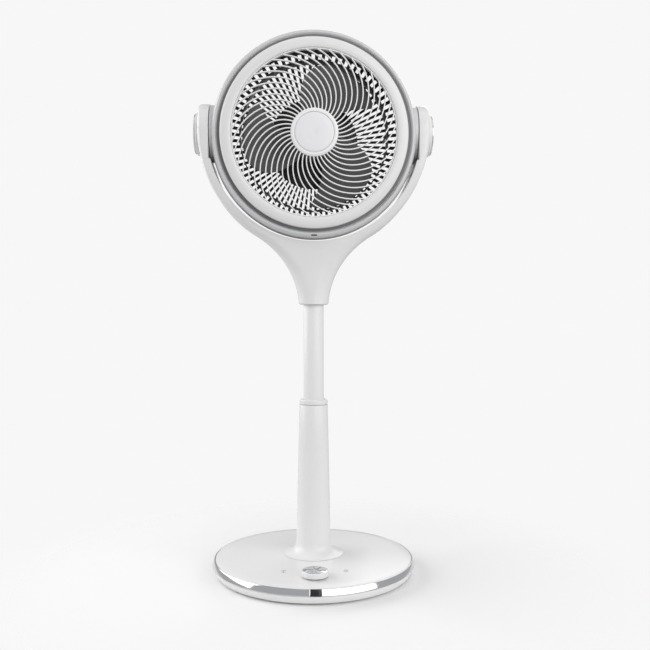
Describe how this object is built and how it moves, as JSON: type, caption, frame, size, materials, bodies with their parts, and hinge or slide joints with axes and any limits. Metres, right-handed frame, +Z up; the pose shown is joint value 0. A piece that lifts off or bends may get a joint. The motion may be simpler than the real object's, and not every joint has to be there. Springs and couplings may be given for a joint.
{
  "type": "air circulator fan",
  "caption": "Pedestal air circulator: round weighted base, telescopic column and a U-shaped yoke that swivels, holding a drum-shaped fan head that tilts behind a spiral grille.",
  "frame": {"origin": "centre of the base on the floor, under the column's axis", "axes": "+Z up the column, air leaves towards -Y, +X to the right-hand end of the tilt axis seen from behind the head"},
  "size_m": [0.4086, 0.348, 0.9206],
  "materials": {
    "white_plastic": "satin",
    "silver_white": "satin",
    "chrome": "polished",
    "steel": "brushed",
    "graphite": "matt",
    "black_plastic": "matt",
    "badge_grey": "satin",
    "rubber": "matt",
    "cast_iron": "as cast",
    "board_green": "satin",
    "nylon": "matt",
    "copper": "bare"
  },
  "bodies": {
    "base": {"base_pan": "white_plastic", "ballast_plate": "cast_iron", "chrome_band": "chrome", "ir_window": "black_plastic", "base_top_cover": "white_plastic", "column_socket": "steel", "power_inlet": "black_plastic", "rubber_foot_1": "rubber", "rubber_foot_2": "rubber", "rubber_foot_3": "rubber", "rubber_foot_4": "rubber", "rubber_foot_5": "rubber", "base_screw_1": "steel", "base_screw_2": "steel", "base_screw_3": "steel", "control_board": "board_green", "encoder_body": "steel", "touch_key_left": "copper", "touch_key_right": "copper", "lower_column": "white_plastic", "core_tube": "steel", "guide_bush": "nylon", "column_collar": "white_plastic"},
    "plunger": {"switch_plunger": "nylon"},
    "knob": {"knob_shaft": "steel", "knob_body": "white_plastic", "knob_cap": "chrome"},
    "upper_tube": {"upper_tube": "white_plastic", "stop_ring": "nylon", "swivel_post": "nylon", "swivel_shaft": "steel", "swivel_washer": "nylon"},
    "yoke": {"yoke_front_shell": "white_plastic", "yoke_rear_shell": "white_plastic", "pivot_cap_left": "white_plastic", "pivot_cap_right": "white_plastic", "pivot_pin": "steel", "tilt_shaft": "steel", "swivel_motor": "steel"},
    "head": {"head_shell": "silver_white", "sensor_window": "black_plastic", "front_bezel": "white_plastic", "front_grille": "white_plastic", "hub_badge": "badge_grey", "rear_guard": "black_plastic", "air_duct": "black_plastic", "motor_cover": "silver_white", "driver_board": "board_green", "motor_housing": "steel", "motor_end_plate": "steel", "motor_bearing_front": "steel", "motor_bearing_rear": "steel", "pivot_bush": "nylon", "tilt_motor": "steel", "motor_stator": "copper"},
    "fan": {"motor_shaft": "steel", "motor_rotor": "cast_iron", "fan_impeller": "graphite", "fan_nut": "graphite"}
  },
  "joints": [
    {"name": "knob_press", "type": "slide", "parent": "base", "child": "plunger", "axis": [0, 0, 1], "range_m": [-0.0008, 0], "stiffness_N_per_m": 2500, "springref_m": 0.0004},
    {"name": "knob_turn", "type": "hinge", "parent": "plunger", "child": "knob", "pos_m": [0, -0.12, 0.035], "axis": [0, 0, 1], "continuous": true},
    {"name": "height_slide", "type": "slide", "parent": "base", "child": "upper_tube", "axis": [0, 0, 1], "range_m": [-0.155, 0]},
    {"name": "neck_swivel", "type": "hinge", "parent": "upper_tube", "child": "yoke", "pos_m": [0, 0, 0.4609], "axis": [0, 0, 1], "range_deg": [-45, 45]},
    {"name": "head_tilt", "type": "hinge", "parent": "yoke", "child": "head", "pos_m": [0, 0, 0.7549], "axis": [-1, 0, 0], "range_deg": [-11.5, 93.5]},
    {"name": "fan_spin", "type": "hinge", "parent": "head", "child": "fan", "pos_m": [0, 0.00046, 0.74741], "axis": [0, -0.9981, -0.061], "continuous": true}
  ]
}
